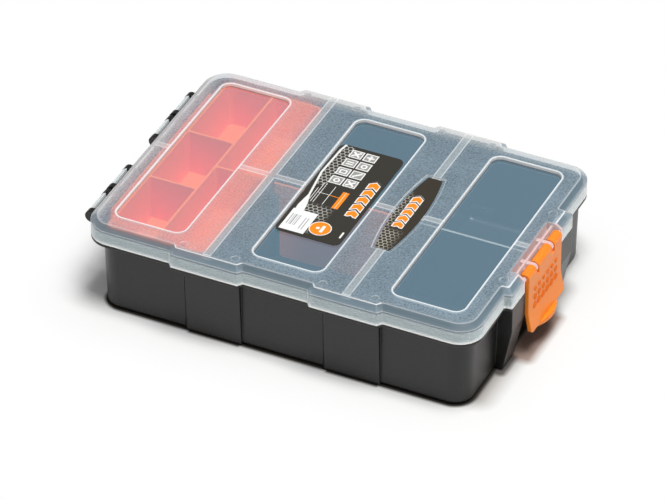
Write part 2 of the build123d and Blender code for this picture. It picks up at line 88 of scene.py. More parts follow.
class Value:
    """A number socket that takes part in Python expressions by adding Math nodes."""

    def __init__(self, graph: "Graph", socket: Socket) -> None:
        """Wrap a socket.

        Args:
            graph: the material's graph that the socket belongs to.
            socket: the output socket that carries the number.
        """
        self.graph = graph
        self.socket = socket

    def math(self, operation: str, *others: Operand) -> "Value":
        """Add one Math node that starts from this value.

        Args:
            operation: the Math node's operation.
            others: the node's other operands.

        Returns:
            The node's result.
        """
        operands = dict(enumerate((self, *others)))
        node = self.graph.node("ShaderNodeMath", operands, operation=operation)
        return Value(self.graph, node.outputs[0])

    def flip(self, operation: str, other: float) -> "Value":
        """Add a Math node with a plain number before this value."""
        node = self.graph.node("ShaderNodeMath", {0: other, 1: self}, operation=operation)
        return Value(self.graph, node.outputs[0])

    def __add__(self, other: Operand) -> "Value":
        """Return self + other."""
        return self.math("ADD", other)

    __radd__ = __add__

    def __sub__(self, other: Operand) -> "Value":
        """Return self - other."""
        return self.math("SUBTRACT", other)

    def __rsub__(self, other: float) -> "Value":
        """Return other - self."""
        return self.flip("SUBTRACT", other)

    def __mul__(self, other: Operand) -> "Value":
        """Return self * other."""
        return self.math("MULTIPLY", other)

    __rmul__ = __mul__

    def __truediv__(self, other: Operand) -> "Value":
        """Return self / other."""
        return self.math("DIVIDE", other)

    def __rtruediv__(self, other: float) -> "Value":
        """Return other / self."""
        return self.flip("DIVIDE", other)

    def __abs__(self) -> "Value":
        """Return the value without its sign."""
        return self.math("ABSOLUTE")

    def least(self, other: Operand) -> "Value":
        """Return the smaller of two values."""
        return self.math("MINIMUM", other)

    def most(self, other: Operand) -> "Value":
        """Return the larger of two values."""
        return self.math("MAXIMUM", other)

    def power(self, exponent: Operand) -> "Value":
        """Return the value raised to an exponent."""
        return self.math("POWER", exponent)

    def between(self, first: Operand, second: Operand) -> "Value":
        """Return first where this share is 0 and second where it is 1."""
        return self * (second - first) + first

    def modulo(self, period: float) -> "Value":
        """Return what is left over a period, never negative."""
        return self.math("FLOORED_MODULO", period)

    def clamped(self) -> "Value":
        """Return the value held between 0 and 1."""
        return self.most(0.0).least(1.0)

    def inside(self, soft: float) -> "Value":
        """Turn a signed distance into a mask, 1 inside the shape.

        Args:
            soft: the width of the edge, in the distance's unit.

        Returns:
            The mask, 0 to 1.
        """
        return (0.5 - self / soft).clamped()

    def below(self, limit: float, soft: float) -> "Value":
        """Return the mask of what is less than a limit."""
        return (self - limit).inside(soft)

    def above(self, limit: float, soft: float) -> "Value":
        """Return the mask of what is more than a limit."""
        return (limit - self).inside(soft)

    def near(self, middle: float, half: float, soft: float) -> "Value":
        """Return the mask of what is less than half away from a middle."""
        return (abs(self - middle) - half).inside(soft)


class Graph:
    """The node graph of one new material or world."""

    def __init__(self, owner: Union[bpy.types.Material, bpy.types.World]) -> None:
        """Start an empty graph.

        Args:
            owner: the new material or world.
        """
        owner.use_nodes = True
        self.owner = owner
        self.tree = owner.node_tree
        self.tree.nodes.clear()

    def node(
        self, kind: str, sockets: Optional[dict[Union[str, int], Any]] = None, **settings: Any
    ) -> bpy.types.Node:
        """Add a node.

        Args:
            kind: the node's Blender type.
            sockets: values or links of its inputs, by name or number.
            settings: its properties, set before the inputs.

        Returns:
            The new node.
        """
        node = self.tree.nodes.new(kind)
        for key, value in settings.items():
            setattr(node, key, value)
        for key, value in (sockets or {}).items():
            self.feed(node.inputs[key], value)
        return node

    def feed(self, socket: Socket, value: Any) -> None:
        """Link a socket to another, or set its number or colour.

        Args:
            socket: the input to feed.
            value: a Value, an output socket, a number, or a colour.
        """
        if isinstance(value, Value):
            value = value.socket
        if isinstance(value, Socket):
            self.tree.links.new(value, socket)
        elif isinstance(value, tuple) and len(value) == 3 and socket.type == "RGBA":
            socket.default_value = rgba(value)
        else:
            socket.default_value = value

    def axes(self, vector: Socket) -> Triple:
        """Split a vector into its X, Y and Z."""
        parts = self.node("ShaderNodeSeparateXYZ", {0: vector})
        return tuple(Value(self, parts.outputs[axis]) for axis in range(3))

    def place(self) -> Triple:
        """Read the point's place on the object.

        Returns:
            Its X, Y and Z in millimetres.
        """
        coordinates = self.node("ShaderNodeTexCoord").outputs["Object"]
        sockets = {0: coordinates, "Scale": 1 / MM}
        scaled = self.node("ShaderNodeVectorMath", sockets, operation="SCALE")
        return self.axes(scaled.outputs[0])

    def lean(self) -> Triple:
        """Return the X, Y and Z of the surface's normal on the object."""
        return self.axes(self.node("ShaderNodeTexCoord").outputs["Normal"])

    def noise(self, size: float, detail: float = 2.0, roughness: float = 0.5) -> Value:
        """Add a noise pattern fixed to the object.

        Args:
            size: the width of its larger features, in millimetres.
            detail: how many finer layers it has.
            roughness: how strong the finer layers are.

        Returns:
            The noise, about 0.5 on average.
        """
        sockets = {
            "Vector": self.node("ShaderNodeTexCoord").outputs["Object"],
            "Scale": 1 / (size * MM),
            "Detail": detail,
            "Roughness": roughness,
        }
        node = self.node("ShaderNodeTexNoise", sockets, noise_dimensions="3D")
        return Value(self, node.outputs[0])

    def blend(self, share: Operand, first: Any, second: Any) -> Socket:
        """Mix two colours.

        Args:
            share: how much of the second colour shows.
            first: a colour or a colour socket.
            second: a colour or a colour socket.

        Returns:
            The mixed colour's socket.
        """
        node = self.node("ShaderNodeMix", {0: share, 6: first, 7: second}, data_type="RGBA")
        return node.outputs[2]

    def layered(self, colour: Any, layers: Layers) -> Socket:
        """Lay colours over a first one.

        Args:
            colour: the lowest colour, or its socket.
            layers: each layer's mask and colour, from the lowest up.

        Returns:
            The resulting colour's socket.
        """
        for mask, tint in layers:
            colour = self.blend(mask, colour, tint)
        return colour

    def mixed(self, share: Operand, first: Any, second: Any) -> Socket:
        """Mix two surfaces by how much of the second shows."""
        return self.node("ShaderNodeMixShader", {0: share, 1: first, 2: second}).outputs[0]

    def ray(self, kind: str) -> Value:
        """Return 1 for rays of one kind and 0 for all others."""
        return Value(self, self.node("ShaderNodeLightPath").outputs[kind])

    def rounded_normal(self, radius: float) -> Socket:
        """Return a normal that rounds the object's edges off, by a radius in millimetres."""
        node = self.node("ShaderNodeBevel", {"Radius": radius * MM}, samples=BEVEL_SAMPLES)
        return node.outputs[0]

    def bumped(self, height: Value, depth: float, radius: float) -> Socket:
        """Add a bump over rounded edges.

        Args:
            height: the height pattern, 0 to 1.
            depth: how deep the pattern is, in millimetres.
            radius: the radius of the rounded edges, in millimetres.

        Returns:
            The normal's socket.
        """
        sockets = {
            "Height": height,
            "Distance": depth * MM,
            "Strength": 1.0,
            "Normal": self.rounded_normal(radius),
        }
        return self.node("ShaderNodeBump", sockets).outputs[0]

    def edges(self, radius: float, gain: float) -> Value:
        """Mark the object's edges by how far a rounded normal leaves the flat one.

        Args:
            radius: how far the marks reach from an edge, in millimetres.
            gain: how strongly shallow edges show.

        Returns:
            The mask, 1 on sharp edges.
        """
        flat = self.node("ShaderNodeNewGeometry").outputs["True Normal"]
        sockets = {0: self.rounded_normal(radius), 1: flat}
        lean = self.node("ShaderNodeVectorMath", sockets, operation="DOT_PRODUCT")
        return ((1 - abs(Value(self, lean.outputs["Value"]))) * gain).clamped()

    def finish(self, surface: Socket) -> bpy.types.Material:
        """Connect the surface to the output and return the material."""
        self.node("ShaderNodeOutputMaterial", {"Surface": surface})
        return self.owner


def length(x: Value, y: Value) -> Value:
    """Return the length of a flat vector."""
    return (x * x + y * y).power(0.5)


def joined(shapes: Iterable[Value]) -> Value:
    """Return the signed distance to the nearest of several shapes."""
    return reduce(Value.least, shapes)


def rounded_rectangle(x: Value, y: Value, half: Point, radius: float) -> Value:
    """Measure the signed distance to a rounded rectangle round the origin.

    Args:
        x: the point's place along the box.
        y: the point's place across the box.
        half: half the rectangle's length and width.
        radius: the radius of its corners.

    Returns:
        The distance, less than 0 inside.
    """
    over_x = abs(x) - (half[0] - radius)
    over_y = abs(y) - (half[1] - radius)
    corner = length(over_x.most(0.0), over_y.most(0.0))
    return corner + over_x.most(over_y).least(0.0) - radius


@dataclass(frozen=True)
class Patch:
    """A rounded rectangle with a soft edge, seen from above."""

    centre: Point
    half: Point
    radius: float
    soft: float

    def distance(self, x: Value, y: Value) -> Value:
        """Return the signed distance to the patch's outline."""
        moved = (x - self.centre[0], y - self.centre[1])
        return rounded_rectangle(*moved, self.half, self.radius)

    def mask(self, x: Value, y: Value) -> Value:
        """Return the patch's mask, 1 inside."""
        return self.distance(x, y).inside(self.soft)


@dataclass(frozen=True)
class MouldedPlastic:
    """Solid coloured plastic with a fine moulded grain and slightly rounded edges."""

    name: str
    colour: Colour
    shade: Colour
    roughness: float
    grain_size: float
    grain_depth: float
    edge_radius: float
    subsurface: float = 0.0
    glow: Colour = BLACK
    detail: Optional[Colour] = None
    detail_roughness: float = 0.36
    grain_gain: float = 1.6
    patch_gain: float = 0.5
    patch_grains: float = 60.0
    roughness_swing: float = 0.1
    scatter_reach: float = 2.0

    def marked(self, graph: Graph) -> Optional[Value]:
        """Return the mask of the places that have the detail colour, if there are any."""
        return None

    def material(self) -> bpy.types.Material:
        """Build the material.

        Returns:
            The new material.
        """
        graph = Graph(bpy.data.materials.new(self.name))
        grain = graph.noise(self.grain_size, 3.0, 0.6)
        patches = graph.noise(self.patch_grains * self.grain_size)
        share = (grain - 0.5) * self.grain_gain + (patches - 0.5) * self.patch_gain + 0.5
        colour = graph.blend(share.clamped(), self.shade, self.colour)
        roughness = self.roughness + (patches - 0.5) * self.roughness_swing
        mask = self.marked(graph)
        if mask is not None:
            colour = graph.blend(mask, colour, self.detail)
            roughness = mask.between(roughness, self.detail_roughness)
        shader = graph.node("ShaderNodeBsdfPrincipled", {
            "Base Color": colour,
            "Roughness": roughness,
            "Normal": graph.bumped(grain, self.grain_depth, self.edge_radius),
            "Subsurface Weight": self.subsurface,
            "Subsurface Scale": self.scatter_reach * MM,
            "Emission Color": self.glow,
            "Emission Strength": 1.0,
        })
        return graph.finish(shader.outputs[0])


@dataclass(frozen=True)
class EdgeHighlightPlastic(MouldedPlastic):
    """Moulded plastic of a loose plate, with a painted highlight along its upper edge."""

    # Painted highlight along the upper edge
    detail: Colour = (0.30, 0.31, 0.29)
    edge_height: float = 43.3
    edge_depth: float = 0.12

    def marked(self, graph: Graph) -> Value:
        """Return the mask of the painted highlight along the upper edge."""
        return graph.place()[2].above(self.edge_height - self.edge_depth, CRISP)


@dataclass(frozen=True)
class DottedPlastic(MouldedPlastic):
    """Moulded plastic of the latch, deeper in colour on the raised dots."""

    detail: Colour = (0.97, 0.17, 0.0)
    detail_roughness: float = 0.95
    leaf_face: float = 103.6
    dot_height: float = 0.2
    lowest_dot: float = 23.2

    def marked(self, graph: Graph) -> Value:
        """Return the mask of the raised dots."""
        x, _, z = graph.place()
        return x.above(self.leaf_face + self.dot_height, CRISP) * z.above(self.lowest_dot, CRISP)


@dataclass
class LidPoint:
    """A point of the lid's surface, with its signed distances to what is drawn there."""

    x: Value
    y: Value
    z: Value
    lean: Triple
    window: Value
    outline: Value
    strip: Value
    above: Value


@dataclass
class LidMasks:
    """Where each look of the lid shows, from 0 to 1; several of these looks are painted light and
    shade.
    """

    pane: Value
    # Painted light on the windows' pit walls
    wall: Value
    # Painted shade at the foot of the windows' pit walls
    pit_foot_shade: Value
    skirt: Value
    shoulder: Value
    band: Value
    notch: Value
    hooks: Value
    # Painted sheen on the far and hinge sides
    far_sheen: Value
    # Painted orange light from the tray below, on the lid over it
    tray: Value
    inner: Value
    # Painted highlight on the edges, the crest and beside the thick strips
    edge: Value
    # Painted highlight lines round the windows' rims, along the skirt's lip and along the fold
    line: Value


@dataclass(frozen=True)
class LidPlaces:
    """The places on the lid where its looks change."""

    window_pitch: float = 70.0
    window_half: Point = (17.85, 59.0)
    window_radius: float = 5.0
    outline_half: Point = (98.5, 69.7)
    outline_radius: float = 12.0
    lid_top: float = 47.0
    wall_thickness: float = 1.4
    inner_wall: float = 1.7
    level_lean: float = 0.3
    pane_top: float = 45.0
    pane_margin: float = 0.2
    pane_depth: float = 0.3
    pit_wall_half: float = 0.06
    pit_foot: float = 0.45
    pit_margin: float = 0.3
    pit_height: float = 0.5
    # A painted highlight line round each window's rim
    rim_middle: float = 0.35
    rim_half: float = 0.45
    rim_depth: float = 0.3
    rim_share: float = 0.7
    # The fold between top and skirt, which also carries a painted highlight line
    fold_height: float = 43.2
    fold_half: float = 0.3
    fold_run: float = 0.6
    fold_share: float = 0.3
    # Below this height the skirt's lip carries a painted highlight line
    lip_height: float = 37.85
    shoulder_width: float = 3.7
    shoulder_depth: float = 0.12
    crown_half: float = 1.0
    crown_loss: float = 0.45
    band_half: float = 1.9
    band_end: float = 68.6
    strip_half: float = 1.6
    # A painted highlight line beside each thick strip
    strip_line: float = -0.1
    strip_line_half: float = 0.3
    strip_line_share: float = 0.6
    notch_corner: Point = (93.6, 22.3)
    notch_depth: float = 0.15
    notch_loss: float = 0.8
    hook_start: float = -98.9
    # Where the painted sheen on the far and hinge sides starts, and how far it fades in
    far_sheen_corner: Point = (-89.5, 60.2)
    far_sheen_run: float = 8.0
    # Where the lid gets painted orange light from the tray below
    tray: Patch = Patch((-63.5, -2.75), (24.5, 62.75), 6.0, 3.0)
    # A painted highlight line along the crest, and the reach of the painted highlight on edges
    crest_depth: float = 0.25
    crest_half: float = 0.16
    crest_lean: float = 0.8
    crest_lean_half: float = 0.12
    edge_radius: float = 0.55
    edge_gain: float = 12.0

    def point(self, graph: Graph) -> LidPoint:
        """Read a point of the lid and measure its distances.

        Args:
            graph: the material's graph.

        Returns:
            The point.
        """
        x, y, z = graph.place()
        fold = abs(x).least(abs(abs(x) - self.window_pitch))
        across = abs(abs(x) - self.window_pitch / 2) - self.band_half
        across = across.most(abs(y) - self.band_end)
        return LidPoint(
            x=x,
            y=y,
            z=z,
            lean=graph.lean(),
            window=rounded_rectangle(fold, y, self.window_half, self.window_radius),
            outline=rounded_rectangle(x, y, self.outline_half, self.outline_radius),
            strip=across.least(abs(y) - self.strip_half),
            above=z.above(self.fold_height, self.fold_run),
        )

    def hidden(self, at: LidPoint) -> Value:
        """Mark the faces inside the shell: its underside, the ribs and the skirt's back.

        Args:
            at: the point.

        Returns:
            The mask, 1 on the inner faces.
        """
        along, across, up = at.lean
        low = at.z - self.lid_top + self.wall_thickness - HAIR
        outwards = along * at.x * (1 / self.outline_half[0])
        outwards = outwards + across * at.y * (1 / self.outline_half[1])
        back = (outwards - HAIR).most(abs(up) - self.level_lean).most(low).inside(HAIR)
        within = (at.outline + self.inner_wall).most(low).inside(HAIR)
        return up.below(-self.level_lean, HAIR).most(within).most(back)

    def far_sheen(self, at: LidPoint) -> Value:
        """Return the mask of the painted sheen that makes the far and hinge sides paler."""
        far = ((at.y - self.far_sheen_corner[1]) / self.far_sheen_run).clamped()
        return far.most(((self.far_sheen_corner[0] - at.x) / self.far_sheen_run).clamped()) * at.above

    def edges(self, graph: Graph, at: LidPoint, lines: Value) -> Value:
        """Mark the edges that get a painted highlight, with the crest and the lines beside the thick
        strips, less along the crown and not round the windows' pits.

        Args:
            graph: the material's graph.
            at: the point.
            lines: the mask of the lines beside the thick strips.

        Returns:
            The mask, 1 on sharp edges.
        """
        crest_highlight = at.z.near(self.lid_top - self.crest_depth, self.crest_half, CRISP)
        crest_highlight = crest_highlight.least(at.lean[2].near(self.crest_lean, self.crest_lean_half, CRISP))
        crown = at.outline.near(-self.shoulder_width, self.crown_half, WIDE)
        pit = at.window.below(self.pit_margin, FIRM)
        pit = pit * at.z.below(self.pane_top + self.pit_height, SOFT)
        edge = graph.edges(self.edge_radius, self.edge_gain)
        edge = edge.most(lines * self.strip_line_share).most(crest_highlight)
        return edge * (1 - crown * self.crown_loss) * (1 - pit)

    def masks(self, graph: Graph) -> LidMasks:
        """Work out where each look of the lid shows.

        Args:
            graph: the material's graph.

        Returns:
            The masks.
        """
        at = self.point(graph)
        pane = at.window.below(-self.pane_margin, FIRM)
        pane = pane * at.z.below(self.pane_top + self.pane_margin, CRISP)
        wall = at.window.near(0.0, self.pit_wall_half, CRISP)
        # Painted highlight line round each window's rim
        rim_highlight = at.window.near(self.rim_middle, self.rim_half, WIDE)
        rim_highlight = rim_highlight * at.z.above(self.lid_top - self.rim_depth, FIRM)
        shoulder = at.z.below(self.lid_top - self.shoulder_depth, FIRM) * at.above
        open_top = at.above * at.window.above(self.pane_margin, FIRM)
        # Painted highlight lines beside the thick strips
        lines = at.strip.near(self.strip_line, self.strip_line_half, BLURRED) * open_top
        notch = at.x.above(self.notch_corner[0], SOFT)
        notch = notch.least(abs(at.y).below(self.notch_corner[1], SOFT))
        notch = notch * at.z.below(self.lid_top - self.notch_depth, CRISP)
        hooks = at.x.below(self.hook_start, BLURRED)
        inner = self.hidden(at) * (1 - hooks).least(1 - notch) * (1 - wall)
        inner = inner * (1 - pane * at.z.above(self.pane_top - self.pane_depth, CRISP))
        # Painted highlight lines along the skirt's lip and along the fold
        lip_highlight = at.z.below(self.lip_height, SOFT)
        fold = at.z.near(self.fold_height, self.fold_half, BLURRED)
        line = (rim_highlight * self.rim_share).most(lip_highlight).most(fold * self.fold_share)
        edge = self.edges(graph, at, lines)
        return LidMasks(
            pane=pane,
            wall=wall,
            # Painted shade at the foot of the windows' pit walls
            pit_foot_shade=wall * at.z.below(self.pane_top + self.pit_foot, SOFT),
            skirt=at.z.below(self.fold_height, self.fold_run),
            shoulder=shoulder * at.outline.above(-self.shoulder_width, FIRM),
            band=at.strip.inside(SOFT) * open_top,
            notch=notch,
            hooks=hooks,
            far_sheen=self.far_sheen(at) * (1 - rim_highlight),
            tray=self.tray.mask(at.x, at.y) * at.above,
            inner=inner,
            edge=edge * (1 - inner) * (1 - notch * self.notch_loss),
            line=line * (1 - inner) * (1 - notch),
        )


@dataclass(frozen=True)
class LidColours:
    """The colours of the lid's plastic, by place; several of them are painted light and shade."""

    frosted: Colour = (0.45, 0.61, 0.73)
    # Painted orange light from the tray below
    tray: Colour = (0.72, 0.43, 0.42)
    band: Colour = (0.62, 0.73, 0.79)
    # Painted sheen on the far and hinge sides
    far_sheen: Colour = (0.80, 0.81, 0.79)
    shoulder: Colour = (0.18, 0.28, 0.35)
    skirt: Colour = (0.58, 0.68, 0.71)
    # Painted light on the windows' pit walls
    wall: Colour = (0.90, 0.93, 0.95)
    # Painted shade at the foot of the windows' pit walls
    pit_foot_shade: Colour = (0.16, 0.22, 0.27)
    notch: Colour = (0.90, 0.66, 0.66)
    hooks: Colour = (0.60, 0.64, 0.64)
    # Painted highlight on the edges; also the pale colour of the painted sheen at a glance and of the
    # light let through
    edge: Colour = (0.86, 0.89, 0.90)
    pane: Colour = (0.42, 0.68, 0.88)
    # Painted highlight lines
    line: Colour = (0.95, 0.96, 0.95)


@dataclass(frozen=True)
class LidDensities:
    """The share of light that one surface of the lid holds back when it is met head on."""

    frosted: float = 0.38
    band: float = 0.55
    # Denser where the painted orange light from the tray lies
    tray: float = 0.58
    # Density of the painted sheen on the far and hinge sides
    far_sheen: float = 0.62
    shoulder: float = 0.66
    skirt: float = 0.46
    # Density of the painted light on the windows' pit walls
    wall: float = 0.85
    notch: float = 0.7
    hooks: float = 0.62
    # Density of the painted highlight on the edges
    edge: float = 0.7
    pane: float = 0.118
    # Density of the painted highlight lines
    line: float = 0.85
    inner: float = 0.05


@dataclass(frozen=True)
class WindowedPlastic:
    """The lid's see-through plastic: grained and cloudy, with three clear polished windows."""

    name: str = "frosted_lid"
    places: LidPlaces = LidPlaces()
    colours: LidColours = LidColours()
    densities: LidDensities = LidDensities()
    grain_size: float = 0.8
    grain_gain: float = 1.7
    skirt_grain: float = 0.4
    grain_depth: float = 0.01
    cloud_size: float = 16.0
    cloud_gain: float = 0.4
    # How much painted orange light from the tray shows
    tray_light_share: float = 0.7
    # Painted sheen at a glance: where it starts and how fast it grows
    turned_from: float = 0.55
    turned_gain: float = 4.0
    least_slant: float = 0.12
    frosted_roughness: float = 0.48
    pane_roughness: float = 0.12
    # Painted glow of the pit walls and of the notch, given off by emission
    wall_glow: float = 0.3
    notch_glow: float = 0.25
    scattered: float = 0.4
    shadow_loss: float = 0.8

    def density(self, graph: Graph, masks: LidMasks, grain: Value) -> Value:
        """Work out how much light one surface holds back.

        Args:
            graph: the material's graph.
            masks: where each look shows.
            grain: the fine grain, about 0 on average.

        Returns:
            The density, 0 to 1.
        """
        held = self.densities
        cloud = (graph.noise(self.cloud_size) - 0.5) * self.cloud_gain
        density = (grain + cloud + 1.0) * held.frosted
        density = masks.band.between(density, density + held.band - held.frosted)
        # Denser over the tray, under the painted orange light from it
        density = density + masks.tray * (1 - masks.band) * (held.tray - held.frosted)
        # Denser under the painted sheen on the far and hinge sides
        density = density + masks.far_sheen * (held.far_sheen - held.frosted)
        for mask, share in (
            (masks.shoulder, held.shoulder),
            (masks.skirt, (grain * self.skirt_grain + 1.0) * held.skirt),
            # Denser under the painted light on the windows' pit walls
            (masks.wall, held.wall),
            (masks.notch, held.notch),
            (masks.hooks, held.hooks),
        ):
            density = mask.between(density, share)
        # Denser under the painted highlight on the edges
        density = masks.edge.between(density, density.most(held.edge))
        density = masks.pane.between(density, held.pane)
        # Denser under the painted highlight lines
        density = masks.line.between(density, held.line)
        return masks.inner.between(density, held.inner)

    def colour(self, graph: Graph, masks: LidMasks, facing: Value) -> Socket:
        """Work out the plastic's colour.

        Args:
            graph: the material's graph.
            masks: where each look shows.
            facing: how far the surface is turned from the viewer, 0 to 1.

        Returns:
            The colour's socket.
        """
        tints = self.colours
        # Painted sheen: the colour turns pale where the surface is seen at a glance
        turned = ((facing - self.turned_from) * self.turned_gain).clamped()
        return graph.layered(tints.frosted, (
            # Painted orange light from the tray below
            (masks.tray * self.tray_light_share, tints.tray),
            (masks.band, tints.band),
            # Painted sheen on the far and hinge sides
            (masks.far_sheen, tints.far_sheen),
            (masks.shoulder, tints.shoulder),
            (masks.skirt, tints.skirt),
            # Painted light on the windows' pit walls
            (masks.wall, tints.wall),
            # Painted shade at the foot of the windows' pit walls
            (masks.pit_foot_shade, tints.pit_foot_shade),
            (masks.notch, tints.notch),
            (masks.hooks, tints.hooks),
            # Painted highlight on the edges
            (masks.edge, tints.edge),
            (masks.pane, tints.pane),
            # Painted highlight lines
            (masks.line, tints.line),
            # Painted sheen at a glance
            (turned * (1 - masks.pane) * (1 - masks.notch), tints.edge),
        ))

    def material(self) -> bpy.types.Material:
        """Build the material.

        Returns:
            The new material.
        """
        graph = Graph(bpy.data.materials.new(self.name))
        masks = self.places.masks(graph)
        grain = (graph.noise(self.grain_size, 1.5) - 0.5) * self.grain_gain
        density = self.density(graph, masks, grain)
        facing = Value(graph, graph.node("ShaderNodeLayerWeight", {0: 0.5}).outputs["Facing"])
        colour = self.colour(graph, masks, facing)
        slant = (1 - facing).most(self.least_slant)
        alpha = 1 - (1 - density).clamped().power(1 / slant)
        frosted = 1 - masks.pane
        # Painted glow: the pit walls above their feet and the notch give off light by emission
        painted_glow = (masks.wall * (1 - masks.pit_foot_shade) * self.wall_glow).most(masks.notch * self.notch_glow)
        radius = self.places.edge_radius
        glossy = graph.node("ShaderNodeBsdfPrincipled", {
            "Base Color": colour,
            "Roughness": masks.pane.between(self.frosted_roughness, self.pane_roughness),
            "Emission Color": graph.blend(painted_glow, BLACK, colour),
            "Emission Strength": 1.0,
            "Normal": graph.bumped(frosted * grain, self.grain_depth, radius),
        })
        milky = graph.node("ShaderNodeBsdfTranslucent", {"Color": self.colours.edge})
        share = frosted * (1 - masks.edge) * (1 - masks.skirt) * (1 - masks.line) * self.scattered
        solid = graph.mixed(share, glossy.outputs[0], milky.outputs[0])
        clear = graph.node("ShaderNodeBsdfTransparent")
        bounced = graph.ray("Is Shadow Ray") + graph.ray("Is Diffuse Ray")
        held = alpha * (1 - bounced * self.shadow_loss)
        return graph.finish(graph.mixed(held, clear.outputs[0], solid))


class Glyph(Enum):
    """The plain marks that the card's small frames hold."""

    PLUS = "plus"
    RING = "ring"
    SLASH = "slash"
    SQUARE = "square"
    CROSS = "cross"
    BARS = "bars"


GLYPH_BOXES: dict[Glyph, tuple[Box, ...]] = {
    Glyph.PLUS: ((ORIGIN, (1.9, 0.5)), (ORIGIN, (0.5, 1.8))),
    Glyph.BARS: (((0.0, 0.8), (1.8, 0.4)), ((0.0, -0.8), (1.8, 0.4))),
}
GLYPH_STROKES: dict[Glyph, tuple[Run, ...]] = {
    Glyph.SLASH: (((-1.6, -1.5), (1.6, 1.5)),),
    Glyph.CROSS: (((-1.6, -1.5), (1.6, 1.5)), ((-1.6, 1.5), (1.6, -1.5))),
}


@dataclass(frozen=True)
class PrintedFilm:
    """Shared parts of the printed stickers: inks and simple generic shapes."""

    name: str
    paper: Colour
    roughness: float
    shine: float
    orange: Colour = (0.93, 0.25, 0.01)
    white: Colour = (0.82, 0.82, 0.80)
    mesh: Colour = (0.55, 0.54, 0.50)
    soft: float = 0.12
    ripple_size: float = 14.0
    ripple_depth: float = 0.05
    roughness_swing: float = 0.1
    edge_radius: float = 0.05
    chevron_count: int = 5
    chevron_slope: float = 0.75
    chevron_fill: float = 0.31
    chevron_lean: float = 0.8
    chevron_outline: float = 0.5

    @staticmethod
    def box(x: Value, y: Value, centre: Point, half: Point) -> Value:
        """Return the signed distance to a rectangle round a centre."""
        return (abs(x - centre[0]) - half[0]).most(abs(y - centre[1]) - half[1])

    @staticmethod
    def disc(x: Value, y: Value, centre: Point, radius: float) -> Value:
        """Return the signed distance to a disc round a centre."""
        return length(x - centre[0], y - centre[1]) - radius

    @staticmethod
    def stroke(x: Value, y: Value, points: Sequence[Point]) -> Value:
        """Return the distance to a line through several points.

        Args:
            x: the point's place along the box.
            y: the point's place across the box.
            points: the line's points, in order.

        Returns:
            The distance, in millimetres.
        """
        gaps = []
        for (from_x, from_y), (to_x, to_y) in zip(points, points[1:]):
            run_x = to_x - from_x
            run_y = to_y - from_y
            along = (x - from_x) * run_x + (y - from_y) * run_y
            share = (along / (run_x * run_x + run_y * run_y)).clamped()
            gaps.append(length(x - from_x - share * run_x, y - from_y - share * run_y))
        return joined(gaps)

    @staticmethod
    def honeycomb(x: Value, y: Value, width: float, line: float) -> Value:
        """Draw a honeycomb of thin lines.

        Args:
            x: the point's place along the box.
            y: the point's place across the box.
            width: the width of one cell.
            line: the width of the lines.

        Returns:
            The mask, 1 on the lines.
        """
        height = width * math.sqrt(3)
        offsets = []
        for shift in (0.0, 0.5):
            along = (x + shift * width).modulo(width) - width / 2
            across = (y + shift * height).modulo(height) - height / 2
            slanted = abs(along) * 0.5 + abs(across) * (math.sqrt(3) / 2)
            offsets.append(abs(along).most(slanted))
        return 1 - (joined(offsets) - (width - line) / 2).inside(line)

    def chevrons(self, x: Value, y: Value, row: Box) -> Layers:
        """Draw a row of orange chevrons with a white outline.

        Args:
            x: the point's place along the box.
            y: the point's place across the box.
            row: the row's centre, and half its width and length.

        Returns:
            The two layers of ink.
        """
        centre, half = row
        pitch = 2 * half[1] / self.chevron_count
        rise = y - centre[1] + abs(x - centre[0]) * self.chevron_slope
        slide = (rise + half[1]).modulo(pitch)
        blocks = (abs(slide - pitch / 2) - pitch * self.chevron_fill) * self.chevron_lean
        wedge = blocks.most(abs(x - centre[0]) - half[0])
        wedge = wedge.most(centre[1] - half[1] - y).most(rise - half[1])
        return (
            (wedge.below(self.chevron_outline, self.soft), self.white),
            (wedge.inside(self.soft), self.orange),
        )

    def printed(self, graph: Graph, colour: Any) -> bpy.types.Material:
        """Finish a sticker's material.

        Args:
            graph: the material's graph.
            colour: the printed colour's socket.

        Returns:
            The new material.
        """
        ripple = graph.noise(self.ripple_size)
        shader = graph.node("ShaderNodeBsdfPrincipled", {
            "Base Color": colour,
            "Roughness": self.roughness + (ripple - 0.5) * self.roughness_swing,
            "Specular IOR Level": self.shine,
            "Normal": graph.bumped(ripple, self.ripple_depth, self.edge_radius),
        })
        return graph.finish(shader.outputs[0])


